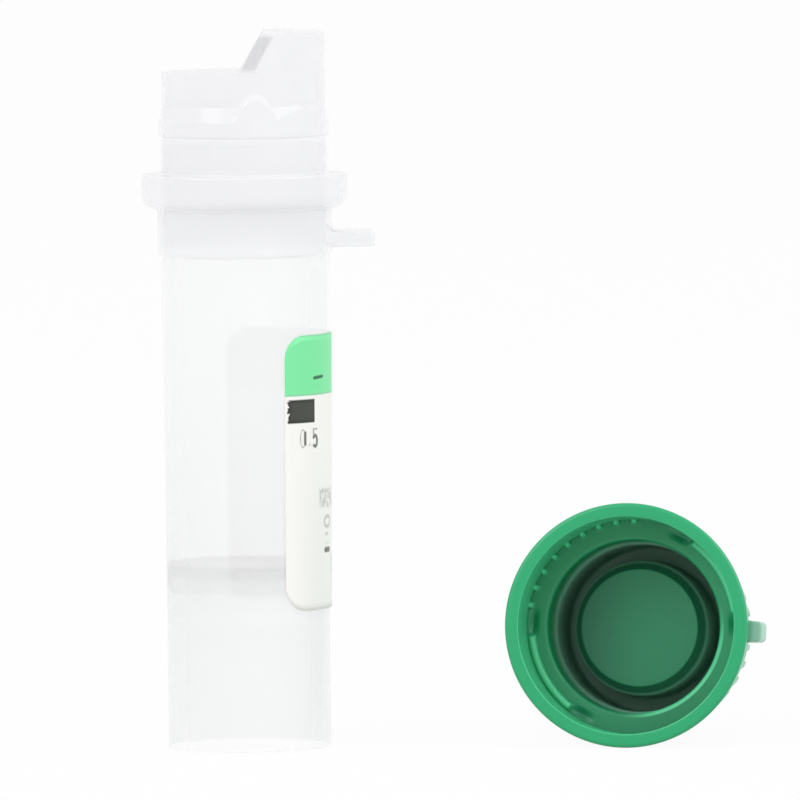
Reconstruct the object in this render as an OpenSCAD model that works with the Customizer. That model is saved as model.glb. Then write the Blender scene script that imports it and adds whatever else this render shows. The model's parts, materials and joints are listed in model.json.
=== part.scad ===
// Small self-standing blood collection tube with a pouring lip, its printed label and its cap.
// The tube stands on its open skirt; the cap has been taken off and lies on its side next to it.
// Origin: centre of the tube's foot, on the ground. +Z is up and +X is the side of the lip and tab.

/* [Tube] */
// Height from the ground to the tip of the pouring lip
tube_h = 45.5; // [40:0.5:56]
// Height of the lip above the low side of the rim
lip_rise = 2.5; // [1.5:0.1:4]
// Outer diameter at the foot
foot_d = 10.2; // [8.5:0.1:12.4]
// Outer diameter of the body where it meets the shoulder band
shoulder_d = 10.74; // [9:0.1:13]
// Wall of the vessel and of the skirt
wall = 1; // [0.7:0.05:1.3]
// Inner diameter of the mouth
mouth_d = 8.7; // [7.2:0.1:9.2]
// Length of the straight sealing land inside the mouth
mouth_land = 4.5; // [3.5:0.1:6]
// Height of the open skirt, from the ground to the vessel's round end
skirt_h = 10; // [6:0.5:13]
// Length of the straight bore inside the skirt
skirt_land = 9.5; // [5:0.5:12]
// Thickness of the vessel's round end
floor_t = 0.9; // [0.6:0.1:1.5]
// Rounding of the foot's outer edge
foot_round = 0.35; // [0.1:0.05:0.6]

/* [Tube head] */
// Wall of the neck at the rim
neck_wall = 0.82; // [0.6:0.02:1.1]
// Rounding of the rim's outer edge
rim_round = 0.5; // [0.2:0.05:0.6]
// Height of the bead's straight part
bead_h = 0.95; // [0.6:0.05:1.5]
// How far the bead stands out of the neck
bead_proud = 0.23; // [0.1:0.01:0.4]
// Height of the slope on top of the bead
bead_slope = 1; // [0.6:0.1:1.4]
// Rim down to the top of the collar
collar_drop = 6.5; // [5:0.1:8]
// Height of the collar
collar_h = 2.2; // [1.2:0.1:3]
// How far the collar stands out of the shoulder band
collar_proud = 1.02; // [0.8:0.02:1.6]
// Rounding of the collar's lower edge
collar_round = 0.9; // [0.1:0.1:0.9]
// Height of the shoulder band under the collar
band_h = 2.8; // [1.8:0.1:4]
// How far the shoulder band stands out of the body
band_proud = 0.16; // [0.05:0.01:0.4]
// How far the neck's foot stands out of the neck
neck_foot_proud = 0.13; // [0.02:0.01:0.2]
// Wall of the lip at its tip
lip_wall = 0.42; // [0.3:0.02:0.6]
// How far the lip's outside steps in from the neck
lip_step = 0.24; // [0.1:0.02:0.3]
// How far the lip's outside leans in from its root to its tip
lip_lean = 0.13; // [0:0.01:0.2]
// Rounding of the lip's outer edge
lip_round = 0.2; // [0.05:0.05:0.3]
// How far ahead of the tube's axis the lip's sloping edges start
lip_inset = 0.25; // [0:0.05:0.6]
// Set-back of those edges over their height
lip_setback = 1.4; // [0.5:0.05:1.6]
// Turn of the lip and the tab about the tube's axis
lip_turn = 6; // [-20:1:20]

/* [Lugs and tab] */
// Directions of the arched lugs on the bead, from +X
lug_turns = [-81, -48]; // [-180:1:180]
// Heights of those lugs
lug_hs = [1.65, 0.95]; // [0.5:0.05:2]
// Widths of those lugs
lug_ws = [2.9, 3.8]; // [2:0.1:5]
// How far the lugs stand out of the neck
lug_proud = 0.18; // [0.05:0.01:0.19]
// Reach of the finger tab from the tube's axis
tab_reach = 8.2; // [7.4:0.1:10]
// Width of the finger tab
tab_w = 3; // [1.5:0.1:5]
// Thickness of the finger tab
tab_t = 1.02; // [0.6:0.05:1.3]
// Height of the tab's underside above the shoulder band's lower edge
tab_lift = 0.28; // [0:0.02:0.4]

/* [Label] */
// Height of the label
label_h = 17.5; // [10:0.5:21]
// Angle that the label wraps round the body
label_wrap = 166.5; // [60:0.5:300]
// Direction of the label's near edge, from +X
label_start = -62.5; // [-180:0.5:180]
// Shoulder band down to the label's top edge
label_gap = 5.1; // [1:0.1:6]
// Thickness of the label
label_t = 0.1; // [0.05:0.01:0.2]
// Thickness of the glue under the label
glue_t = 0.02; // [0.01:0.005:0.05]
// Radius of the label's corners
label_corner = 1.5; // [0.5:0.1:2.5]

/* [Cap] */
// Radial clearance between the cap's skirt and the collar
collar_clear = 0.3; // [0.05:0.01:0.3]
// Radial clearance between the cap's bore and the bead
neck_clear = 0.12; // [0.05:0.01:0.3]
// Radial step from the cap's bore in to the groove for the rim
groove_step = 0.16; // [0.16:0.01:0.2]
// Radial clearance between the plug and the mouth
plug_clear = 0.05; // [0.02:0.01:0.1]
// Radial size of the plug's lead-in
plug_lead = 0.54; // [0.2:0.02:1]
// Rim down to the plug's face when it is closed, which is level with the top of the bead
plug_in = 3.15; // [2.4:0.05:3.6]
// Width of the flat rim round the cap's mouth
cap_rim_w = 0.94; // [0.8:0.02:1.6]
// Length of the cap's skirt below the collar when it is closed
skirt_over = 0.9; // [0.3:0.1:1.5]
// Gap between the collar and the cap's ledge when it is closed
ledge_gap = 0.6; // [0.55:0.05:1.2]
// Gap between the lip and the cap's end when it is closed
lip_gap = 0.3; // [0.1:0.05:0.6]
// Thickness of the cap's closed end
cap_end_t = 1.1; // [0.8:0.1:2]
// Wall of the cap round the groove, between the ribs
cap_wall = 0.69; // [0.4:0.01:1]
// Length of the smooth band behind the cap's rim
cap_band = 4.2; // [3:0.1:6]
// Edge chamfer of the cap's closed end
cap_chamfer = 0.4; // [0.1:0.05:0.6]

/* [Cap grip] */
// Number of grip ribs round the cap
rib_count = 36; // [12:4:48]
// Height of a grip rib
rib_h = 0.25; // [0.1:0.05:0.4]
// Width of a grip rib
rib_w = 0.42; // [0.2:0.02:0.6]
// Reach of the cap's pointer tab from its axis
pointer_reach = 8.5; // [8.2:0.1:11]
// Width of the pointer tab
pointer_w = 1.35; // [0.8:0.05:2]
// Start and end of the pointer tab, behind the rim
pointer_span = [1.6, 4]; // [0.5:0.1:4.2]
// Direction of the pointer tab, clockwise from the cap's own +X as seen from the mouth
pointer_turn = 2.3; // [-20:0.1:20]
// Directions of the first and last tooth on the ledge, anticlockwise from the cap's +X
teeth_from_to = [90, 169]; // [0:1:360]
// Angle between two teeth
tooth_pitch = 9.8; // [5:0.2:20]
// Height, width and length of a tooth
tooth = [0.5, 0.42, 0.32]; // [0.2:0.02:0.8]
// Directions in which each smooth bead on the ledge starts and ends
ledge_beads = [[8, 55], [185, 232]]; // [0:1:360]
// Radius of those beads
ledge_bead_r = 0.28; // [0.1:0.02:0.4]
// Directions in which each shallow pocket in the ledge starts and ends
ledge_pockets = [[-3, 6], [58, 67], [172, 183], [235, 244]]; // [-20:1:360]
// Depth and width of those pockets
pocket = [0.3, 0.5]; // [0.1:0.05:0.6]

/* [Where the cap lies] */
// Cap's mouth, distance to the right of the tube
cap_x = 23.9; // [18:0.1:50]
// Cap's mouth, distance in front of the tube's axis
cap_front = 3.4; // [-20:0.1:20]
// Turn of the cap's closed end to the right
cap_yaw = 9.1; // [-60:0.1:60]

/* [Hidden] */
$fn = 96;
cut = 0.5; // cutting shapes run this far past the faces they cut
arc_steps = 6; // straight steps in each rounded edge
skirt_close = 0.4; // the skirt's bore closes in by this round the vessel's end
tab_root = 0.4; // size of the slope where the tab grows out of the band
draft = 0.03; // moulding draft of the neck's foot, the lugs and the shoulder band

rim_z = tube_h - lip_rise;
bead_top = rim_z - plug_in;
bead_bottom = bead_top - bead_h;
collar_top = rim_z - collar_drop;
collar_bottom = collar_top - collar_h;
band_bottom = collar_bottom - band_h;
label_top = band_bottom - label_gap;
label_bottom = label_top - label_h;

foot_r = foot_d / 2;
shoulder_r = shoulder_d / 2;
mouth_r = mouth_d / 2;
neck_r = mouth_r + neck_wall;
bead_r = neck_r + bead_proud;
neck_foot_r = neck_r + neck_foot_proud;
lug_r = neck_r + lug_proud;
band_r = shoulder_r + band_proud;
collar_r = max(band_r, bead_r) + collar_proud;
lip_r = neck_r - lip_step;

function body_r(z) = foot_r + (shoulder_r - foot_r) * z / band_bottom;

vessel_end_r = body_r(skirt_h + floor_t) - wall;
vessel_end_z = skirt_h + floor_t + vessel_end_r;
skirt_r = min(foot_r, body_r(skirt_h)) - wall;
land_bottom = rim_z - mouth_land;

// The cap's depths are counted from its mouth, and follow the tube's heights when it is closed.
closed_z = collar_bottom - skirt_over;
cap_ledge = collar_top - closed_z + ledge_gap;
plug_face = rim_z - plug_in - closed_z;
cap_groove = tube_h - closed_z + lip_gap;
cap_l = cap_groove + cap_end_t;

cap_skirt_r = collar_r + collar_clear;
cap_flare = 0.05; // the cap's skirt is wider than that by this at its mouth
cap_draft = 0.03; // and narrower by this at the ledge
ledge_root = 0.1; // the teeth go this deep into the ledge
pocket_edge = 0.06; // the ledge's pockets stay this far off the skirt's wall
cap_bore_r = bead_r + neck_clear;
groove_r = cap_bore_r - groove_step;
plug_r = mouth_r - plug_clear;
cap_rim_r = cap_skirt_r + cap_rim_w;
cap_end_r = groove_r + cap_wall + rib_h;
cap_tilt = atan((cap_rim_r - cap_end_r) / cap_l);

function envelope_r(w) = cap_rim_r + (cap_end_r - cap_rim_r) * w / cap_l;

// Points on an arc about [x, y], from angle a to angle b.
function arc(x, y, r, a, b) =
    [for (i = [0:arc_steps]) let (t = a + (b - a) * i / arc_steps) [x + r * cos(t), y + r * sin(t)]];

// A true cone or cylinder between two heights.
module barrel(z0, r0, z1, r1) {
    translate([0, 0, z0]) cylinder(h = z1 - z0, r1 = r0, r2 = r1);
}

// The outline of a flat tab that reaches out along +X, with two rounded outer corners.
module tab_outline(root, reach, w, corner) {
    polygon(concat(
        [[root, -w / 2]],
        arc(reach - corner, corner - w / 2, corner, -90, 0),
        arc(reach - corner, w / 2 - corner, corner, 0, 90),
        [[root, w / 2]]
    ));
}

// The tube's outside up to the rim, as one turned outline.
module tube_outside() {
    rotate_extrude()
        polygon(concat(
            [[0, 0]],
            arc(foot_r - foot_round, foot_round, foot_round, -90, 0),
            [[shoulder_r, band_bottom - band_proud]],
            [[band_r - draft, band_bottom], [band_r + draft, collar_bottom]],
            arc(collar_r - collar_round, collar_bottom + collar_round, collar_round, -90, 0),
            [[collar_r, collar_top]],
            [[neck_foot_r + draft, collar_top], [neck_foot_r - draft, bead_bottom]],
            [[bead_r, bead_bottom], [bead_r, bead_top], [neck_r, bead_top + bead_slope]],
            arc(neck_r - rim_round, rim_z - rim_round, rim_round, 0, 90),
            [[0, rim_z]]
        ));
}

// The vessel's inside: a round end, a slight draft and the straight land of the mouth.
module vessel_inside() {
    translate([0, 0, vessel_end_z]) sphere(r = vessel_end_r);
    barrel(vessel_end_z, vessel_end_r, land_bottom, mouth_r);
    barrel(land_bottom, mouth_r, rim_z + cut, mouth_r);
}

// The open skirt under the vessel: a straight bore that closes in on the round end.
module skirt_inside() {
    dome_r = vessel_end_r + floor_t;
    difference() {
        union() {
            barrel(-cut, skirt_r, skirt_land, skirt_r);
            barrel(skirt_land, skirt_r, vessel_end_z, skirt_r - skirt_close);
        }
        translate([0, 0, vessel_end_z]) sphere(r = dome_r);
    }
}

// The pouring lip: half a ring that flares a little and ends in two sloping edges.
module lip() {
    tip_r = lip_r - lip_lean;
    slope = atan(lip_setback / lip_rise);
    rotate([0, 0, lip_turn])
        difference() {
            rotate_extrude()
                polygon(concat(
                    [[mouth_r, rim_z - rim_round], [lip_r, rim_z - rim_round]],
                    arc(tip_r - lip_round, tube_h - lip_round, lip_round, 0, 90),
                    [[tip_r - lip_wall, tube_h], [mouth_r, rim_z]]
                ));
            translate([lip_inset, 0, rim_z])
                rotate([0, slope, 0])
                    translate([-2 * neck_r, -2 * neck_r, -lip_rise])
                        cube([2 * neck_r, 4 * neck_r, 4 * lip_rise]);
        }
}

// One lug, a low round arch on the neck that grows out of the bead.
module lug(turn, h, w) {
    rotate([0, 0, turn])
        intersection() {
            difference() {
                barrel(bead_top, lug_r + draft, bead_top + h + cut, lug_r - draft);
                barrel(bead_top - cut, neck_r - lug_proud, bead_top + h + 2 * cut, neck_r - lug_proud);
            }
            translate([0, 0, bead_top])
                rotate([90, 0, 90])
                    linear_extrude(height = 2 * neck_r)
                        polygon([for (i = [-arc_steps:arc_steps]) let (a = i / arc_steps)
                            [-a * w / 2, h * (1 - a * a)]]);
        }
}

// The finger tab, with rounded outer corners and a sloping root.
module tab() {
    root = band_r - wall / 2;
    slope_out = band_r - root + tab_root;
    rotate([0, 0, lip_turn])
        translate([0, 0, band_bottom + tab_lift]) {
            linear_extrude(height = tab_t) tab_outline(root, tab_reach, tab_w, tab_t / 2);
            translate([root, -tab_w / 2, tab_t])
                rotate([-90, 0, 0])
                    linear_extrude(height = tab_w)
                        polygon([[0, 0], [slope_out, 0], [slope_out - tab_root, -tab_root], [0, -tab_root]]);
        }
}

module tube() {
    color([0.93, 0.94, 0.95, 0.75])
        union() {
            difference() {
                tube_outside();
                vessel_inside();
                skirt_inside();
            }
            lip();
            tab();
            for (i = [0:len(lug_turns) - 1]) lug(lug_turns[i], lug_hs[i], lug_ws[i]);
        }
}

// What rounding off one corner takes away, cut straight in towards the tube's axis.
module label_corner_cut(turn, z, side, end) {
    reach = label_corner + cut;
    rotate([0, 0, turn])
        translate([0, 0, z])
            rotate([90, 0, 90])
                linear_extrude(height = collar_r)
                    difference() {
                        translate([side > 0 ? 0 : -reach, end > 0 ? 0 : -reach]) square(reach);
                        circle(r = label_corner);
                    }
}

module label() {
    inner = glue_t;
    outer = glue_t + label_t;
    corner_turn = label_corner / shoulder_r * 180 / PI;
    color([0.95, 0.96, 0.95])
        difference() {
            rotate([0, 0, label_start])
                rotate_extrude(angle = label_wrap)
                    polygon([
                        [body_r(label_bottom) + inner, label_bottom],
                        [body_r(label_bottom) + outer, label_bottom],
                        [body_r(label_top) + outer, label_top],
                        [body_r(label_top) + inner, label_top]
                    ]);
            for (end = [-1, 1]) {
                z = end > 0 ? label_top - label_corner : label_bottom + label_corner;
                label_corner_cut(label_start + corner_turn, z, -1, end);
                label_corner_cut(label_start + label_wrap - corner_turn, z, 1, end);
            }
        }
}

// The cap's outside: a smooth band, then ribs between that band and the closed end.
module cap_outside() {
    shell_r = cap_end_r - rib_h;
    intersection() {
        union() {
            barrel(0, cap_rim_r, cap_band, envelope_r(cap_band));
            barrel(0, cap_rim_r - rib_h, cap_l, shell_r);
            for (i = [0:rib_count - 1])
                rotate([0, 0, i * 360 / rib_count])
                    translate([cap_rim_r, 0, 0])
                        rotate([0, -cap_tilt, 0])
                            translate([-2 * rib_h, -rib_w / 2, cap_band - rib_h])
                                cube([3 * rib_h, rib_w, cap_l - cap_band + rib_h]);
        }
        rotate_extrude()
            polygon([
                [0, 0], [cap_rim_r, 0], [envelope_r(cap_l - cap_chamfer), cap_l - cap_chamfer],
                [cap_end_r - cap_chamfer, cap_l], [0, cap_l]
            ]);
    }
}

// The cap's inside: skirt, ledge, bore, and the groove that the rim and the lip go into.
module cap_inside() {
    barrel(-cut, cap_skirt_r + cap_flare, 0, cap_skirt_r + cap_flare);
    barrel(0, cap_skirt_r + cap_flare, cap_ledge, cap_skirt_r - cap_draft);
    barrel(0, cap_bore_r, plug_face, cap_bore_r);
    difference() {
        union() {
            barrel(plug_face, cap_bore_r, plug_face + bead_slope / 2, groove_r);
            barrel(plug_face, groove_r, cap_groove, groove_r);
        }
        barrel(plug_face, plug_r - plug_lead, plug_face + 2 * plug_lead, plug_r);
        barrel(plug_face + 2 * plug_lead, plug_r, cap_groove + cut, plug_r);
    }
}

// Angles on the ledge go anticlockwise from the cap's own +X, as seen from its mouth.
module ledge_teeth() {
    for (a = [teeth_from_to[0]:tooth_pitch:teeth_from_to[1]])
        rotate([0, 0, -a])
            translate([cap_skirt_r - tooth[2], -tooth[1] / 2, cap_ledge - tooth[0]])
                cube([tooth[2], tooth[1], tooth[0] + ledge_root]);
}

module ledge_bead(from, to) {
    rotate([0, 0, -to])
        rotate_extrude(angle = to - from)
            translate([cap_skirt_r - ledge_bead_r, cap_ledge]) circle(r = ledge_bead_r, $fn = 32);
}

// One shallow pocket in the ledge, close to the skirt's wall.
module ledge_pocket(from, to) {
    inner_r = cap_skirt_r - cap_draft - pocket_edge - pocket[1];
    rotate([0, 0, -to])
        rotate_extrude(angle = to - from)
            translate([inner_r, cap_ledge - cut]) square([pocket[1], cut + pocket[0]]);
}

// The pointer tab on the cap's band, with rounded outer corners.
module pointer() {
    root = cap_skirt_r + cap_rim_w / 3;
    rotate([0, 0, pointer_turn])
        translate([0, 0, pointer_span[0]])
            linear_extrude(height = pointer_span[1] - pointer_span[0])
                tab_outline(root, pointer_reach, pointer_w, pointer_w / 4);
}

// The cap with its mouth at the origin and its closed end towards +Z.
module cap_upright() {
    difference() {
        cap_outside();
        cap_inside();
        for (p = ledge_pockets) ledge_pocket(p[0], p[1]);
    }
    ledge_teeth();
    for (b = ledge_beads) ledge_bead(b[0], b[1]);
    pointer();
}

// The cap lies on the straight line down its tapered side, mouth to the front.
module cap() {
    color([0.2, 0.68, 0.45])
        translate([cap_x, -cap_front, cap_rim_r * cos(cap_tilt)])
            rotate([0, 0, -cap_yaw])
                rotate([-90 - cap_tilt, 0, 0])
                    cap_upright();
}

tube();
cap();
label();
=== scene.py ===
"""A small self-standing blood collection tube with its printed label, and its cap beside it.

Every piece is a surface worked out with numpy: a profile turned about an axis, whose lip, tab,
lugs, ribs and teeth are changes of that profile over the turn. Shapes are worked out in
millimetres and degrees, and are written to the meshes in metres.
"""

import json
import math

import bpy
import numpy as np
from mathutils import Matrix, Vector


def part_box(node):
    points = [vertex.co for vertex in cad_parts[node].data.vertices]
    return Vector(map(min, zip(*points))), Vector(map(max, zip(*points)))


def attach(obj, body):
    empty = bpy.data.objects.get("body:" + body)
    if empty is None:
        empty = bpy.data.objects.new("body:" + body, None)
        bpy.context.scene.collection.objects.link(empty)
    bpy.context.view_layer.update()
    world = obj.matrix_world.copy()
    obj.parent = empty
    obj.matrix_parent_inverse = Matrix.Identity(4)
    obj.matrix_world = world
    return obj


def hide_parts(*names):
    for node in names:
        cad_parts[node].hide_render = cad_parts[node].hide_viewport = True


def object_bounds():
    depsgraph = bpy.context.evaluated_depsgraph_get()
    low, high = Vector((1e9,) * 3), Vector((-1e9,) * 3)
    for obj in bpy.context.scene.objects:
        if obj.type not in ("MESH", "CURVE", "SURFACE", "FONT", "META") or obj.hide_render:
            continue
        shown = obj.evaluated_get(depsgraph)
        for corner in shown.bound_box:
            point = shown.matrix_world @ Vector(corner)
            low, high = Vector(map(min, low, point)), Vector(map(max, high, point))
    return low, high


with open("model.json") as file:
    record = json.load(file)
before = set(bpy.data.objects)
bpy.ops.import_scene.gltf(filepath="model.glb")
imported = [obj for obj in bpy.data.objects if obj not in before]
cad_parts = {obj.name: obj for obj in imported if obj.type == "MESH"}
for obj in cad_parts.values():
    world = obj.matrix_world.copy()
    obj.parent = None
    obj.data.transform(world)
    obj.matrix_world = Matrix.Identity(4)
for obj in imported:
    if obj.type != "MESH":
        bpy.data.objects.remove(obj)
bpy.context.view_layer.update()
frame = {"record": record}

MM = 0.001
mounts = {mount["name"]: mount for mount in frame["record"]["mounts"]}
tube_low, tube_high = (np.array(corner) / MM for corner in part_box("tube"))
label_low, label_high = (np.array(corner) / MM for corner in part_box("label"))

# ---------------------------------------------------------------- Sizes of the tube, in mm
LIP_RISE = 2.5  # the lip's tip above the low side of the rim
LIP_WALL = 0.42
LIP_STEP = 0.24  # the lip's outside steps in from the neck
LIP_LEAN = 0.13  # and leans in towards its tip
LIP_INSET = 0.25  # the sloping edges start this far ahead of the axis
LIP_SETBACK = 1.4  # and go this much further ahead over their height
LIP_TURN = 6.0  # turn of the lip and the tab about the axis
PAINTED_LIGHT_LINE = 0.7  # how much whiter and less clear the foot of the neck is, just under the bead: a painted highlight line
LIP_SHADE_W = 1.05  # width of the strip of painted shade inside the lip's far edge
RIM_ROUND = 0.5
NECK_WALL = 0.82
BEAD_SLOPE = 1.0
COLLAR_DROP, COLLAR_H = 6.5, 2.2  # the collar's top below the rim, and its height
COLLAR_ROUND = 0.9
BAND_H = 2.8
NECK_FOOT_PROUD, BAND_PROUD = 0.13, 0.16  # outside the neck, and outside the body
MOUTH_BLEND = 1.0  # the low rim and the lip are one wall from this far below the rim
SHOULDER_R, FOOT_R = 5.37, 5.1
WALL, FLOOR_T = 1.0, 0.9
SKIRT_H = 10.0
TAB_REACH, TAB_W, TAB_T, TAB_LIFT = 8.2, 3.0, 1.02, 0.28
LUGS = ((-81.0, 1.65, 2.9), (-48.0, 0.95, 3.8))  # direction, height and width of each lug
LUG_EDGE = 0.17  # half the width of the slope round a lug

tube_h = tube_high[2]
rim_z = tube_h - LIP_RISE
mouth_r = mounts["mouth"]["dims"]["r_mm"]
land_bottom = rim_z - mounts["mouth"]["dims"]["length_mm"]
bead_r = mounts["neck"]["dims"]["r_mm"]
bead_half = mounts["neck"]["dims"]["length_mm"] / 2
bead_mid = mounts["neck"]["pos_m"][2] / MM
bead_top, bead_bottom = bead_mid + bead_half, bead_mid - bead_half
neck_r = mouth_r + NECK_WALL
neck_foot_r = neck_r + NECK_FOOT_PROUD
collar_r = -tube_low[0]
collar_top = rim_z - COLLAR_DROP
collar_bottom = collar_top - COLLAR_H
band_bottom = collar_bottom - BAND_H
band_r = SHOULDER_R + BAND_PROUD
skirt_r = mounts["skirt_socket"]["dims"]["r_mm"]
skirt_land = mounts["skirt_socket"]["dims"]["length_mm"]


def body_r(z):
    """Radius of the tube's slightly tapered outside at a height."""
    return FOOT_R + (SHOULDER_R - FOOT_R) * z / band_bottom


vessel_end_r = body_r(SKIRT_H + FLOOR_T) - WALL
vessel_end_z = SKIRT_H + FLOOR_T + vessel_end_r

# ---------------------------------------------------------------- Sizes of the cap, in mm
CAP_RIM_R, CAP_END_R, CAP_L = 7.79, 6.3, 13.5
CAP_SKIRT_R, CAP_FLARE, CAP_DRAFT = 6.85, 0.05, 0.03
CAP_LEDGE, PLUG_FACE, CAP_GROOVE = 3.7, 6.45, 12.4  # depths behind the cap's mouth
GROOVE_R, PLUG_R, PLUG_LEAD = 5.36, 4.3, 0.54
CAP_BAND = 4.2  # length of the smooth band behind the rim
RIB_COUNT, RIB_H, RIB_W = 36, 0.25, 0.42
POINTER_REACH, POINTER_W, POINTER_TURN = 8.5, 1.35, 2.3
POINTER_SPAN = (1.6, 4.0)
TEETH = np.arange(90, 169, 9.8)  # directions, anticlockwise as seen from the mouth
TOOTH_H, TOOTH_W, TOOTH_L = 0.5, 0.42, 0.32
TOOTH_SLOPE = (0.04, 0.22)  # a tooth rises from this far inside its inner end to this far outside
LEDGE_BEADS = ((8.0, 55.0), (185.0, 232.0))
LEDGE_BEAD_R, LEDGE_BEAD_END = 0.28, 1.2  # radius in mm, soft ends in degrees
LEDGE_RIM_W = 0.9  # width of the part of the ledge that has its own close rows
LEDGE_POCKETS = ((-3.0, 6.0), (58.0, 67.0), (172.0, 183.0), (235.0, 244.0))
POCKET_DEPTH, POCKET_W, POCKET_EDGE = 0.2, 0.5, 0.06
POCKET_SOFT, POCKET_END = 0.25, 5.0  # soft sides in mm, soft ends in degrees
BORE_ROUND = 0.25
BRIGHT_BORE = ((275.0, 360.0),)  # directions in which the bore's edge gets a painted highlight
BRIGHT_BORE_END = 15.0  # soft ends in degrees
# shares of the painted highlight on the bore's edge and of the painted light on the skirt's inner wall
BORE_LIGHT, WALL_LIGHT = 0.8, 0.55
WALL_LIGHT_ROWS = 4  # rows of the rim that the painted light on the skirt's wall runs on to
# shares of painted pale light: a sheen on the cap's outside, and light in the groove round the plug
OUTSIDE_PAINTED_SHEEN, GROOVE_PAINTED_LIGHT = 0.45, 0.9
FACE_SHADE, FACE_LEFT_SHADE = 0.55, 0.25  # on the plug's face, and how much more at its left
SLANT_SHADE, POCKET_SHADE = 0.78, 0.2
LEDGE_SHADE, LEDGE_LOW_SHADE = 0.32, 0.2  # on the ledge, and how much more low on it
cap_bore_r = mounts["cap_bore"]["dims"]["r_mm"]


# ---------------------------------------------------------------- Surfaces
def rounded_path(corners, arc_pieces=4):
    """Points (n, 2) along straight stretches that are joined by arcs tangent to both.

    Each corner is (radius, height, rounding, pieces): the radius of the arc at that corner, and
    the number of pieces that the stretch before it is split into.
    """
    place = np.array([corner[:2] for corner in corners], float)
    points = [place[:1]]
    for i in range(1, len(corners)):
        rounding, pieces = corners[i][2:]
        arc = place[i:i + 1]
        if rounding:
            back, ahead = place[i - 1] - place[i], place[i + 1] - place[i]
            back, ahead = back / np.hypot(*back), ahead / np.hypot(*ahead)
            half = np.arccos(np.dot(back, ahead)) / 2
            middle = (back + ahead) / np.hypot(*(back + ahead))
            centre = place[i] + middle * rounding / np.sin(half)
            start, stop = (place[i] + side * rounding / np.tan(half) - centre for side in (back, ahead))
            first = np.arctan2(start[1], start[0])
            sweep = (np.arctan2(stop[1], stop[0]) - first + np.pi) % (2 * np.pi) - np.pi
            angle = first + sweep * np.linspace(0, 1, arc_pieces + 1)
            arc = centre + rounding * np.stack([np.cos(angle), np.sin(angle)], 1)
        points.append(np.linspace(points[-1][-1], arc[0], pieces + 1)[1:])
        points.append(arc[1:])
    return np.concatenate(points)


def respread(path, count):
    """The same path with a given number of points, evenly spread along its length."""
    along = np.concatenate([[0], np.hypot(*np.diff(path, axis=0).T).cumsum()])
    wanted = np.linspace(0, along[-1], count)
    return np.stack([np.interp(wanted, along, path[:, k]) for k in (0, 1)], 1)


def ramp(value, low, high):
    """0 below low, 1 above high, and a smooth S-shaped rise between them."""
    share = np.clip((value - low) / (high - low), 0, 1)
    return share * share * (3 - 2 * share)


def spaced(turns, least=0.08):
    """The turns in order over one full circle, without those that nearly coincide."""
    turns = np.sort(np.concatenate(turns) % 360)
    return turns[np.append(np.diff(turns), turns[0] + 360 - turns[-1]) > least]


def poles_and_rows(grid):
    """A grid (rows, turns, 3) as a list of points, with one point each for its first and last row."""
    return np.concatenate([grid[:1, 0], grid[1:-1].reshape(-1, 3), grid[-1:, 0]])


def closed_turned_mesh(name, points, tones):
    """A closed mesh from a grid (rows, turns, 3) whose first and last rows each meet in a pole.

    The tones, three shares from 0 to 1 at every point, go into the attribute that its material reads.
    """
    rows, turns = points.shape[:2]
    vertices = poles_and_rows(points)
    grid = 1 + np.arange((rows - 2) * turns).reshape(rows - 2, turns)
    ahead = np.roll(grid, -1, axis=1)
    quads = np.stack([grid[:-1], ahead[:-1], ahead[1:], grid[1:]], -1).reshape(-1, 4)
    start = np.stack([np.zeros(turns, int), ahead[0], grid[0]], -1)
    stop = np.stack([np.full(turns, len(vertices) - 1), grid[-1], ahead[-1]], -1)
    faces = quads.tolist() + start.tolist() + stop.tolist()
    piece = mesh_piece(name, vertices, faces)
    shares = piece.data.attributes.new("tones", "FLOAT_VECTOR", "POINT")
    shares.data.foreach_set("vector", poles_and_rows(tones).ravel())
    return piece


def mesh_piece(name, vertices, faces, sharp=38):
    """A smooth-shaded object at the origin, from vertices in mm, with edges over an angle sharp."""
    mesh = bpy.data.meshes.new(name)
    mesh.from_pydata((np.asarray(vertices) * MM).tolist(), [], faces)
    mesh.shade_smooth()
    mesh.set_sharp_from_angle(angle=math.radians(sharp))
    piece = bpy.data.objects.new(name, mesh)
    bpy.context.scene.collection.objects.link(piece)
    return piece


def side_inset(aside, half_width, rounding):
    """How far an edge of that rounding draws in, at a distance aside from the middle."""
    over = np.clip(np.abs(aside) - (half_width - rounding), 0, rounding)
    return rounding - np.sqrt(rounding ** 2 - over ** 2)


# ---------------------------------------------------------------- The tube
def lip_share(turn):
    """0 on the low rim, 1 on the full lip, and a straight slope along the lip's direction between."""
    ahead = (neck_r - LIP_STEP) * np.cos(np.radians(turn - LIP_TURN))
    return np.clip((ahead - LIP_INSET) / LIP_SETBACK, 0, 1)


def rim_arc(start, stop, pieces):
    """Points on the rounding of the rim's outer edge, from one angle to another above level."""
    angle = np.linspace(start, stop, pieces + 1)
    return np.stack([np.cos(angle), np.sin(angle)], 1) * RIM_ROUND + (neck_r - RIM_ROUND, rim_z - RIM_ROUND)


def far_lip_shade_mask(radius, turn, z):
    """1 on the strip of painted shade that runs beside the lip's far sloping edge, 0 elsewhere, with soft
    borders.
    """
    ahead = radius * np.cos(np.radians(turn - LIP_TURN))
    behind_edge = ahead - LIP_INSET - LIP_SETBACK * np.clip((z - rim_z) / LIP_RISE, 0, 1)
    across = ramp(behind_edge, -0.1, 0.1) * (1 - ramp(behind_edge, LIP_SHADE_W - 0.1, LIP_SHADE_W + 0.1))
    along = ramp(z, rim_z - 0.5, rim_z) * (1 - ramp(z, tube_h - 0.6, tube_h - 0.35))
    return across * along * (np.sin(np.radians(turn - LIP_TURN)) > 0)


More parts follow.
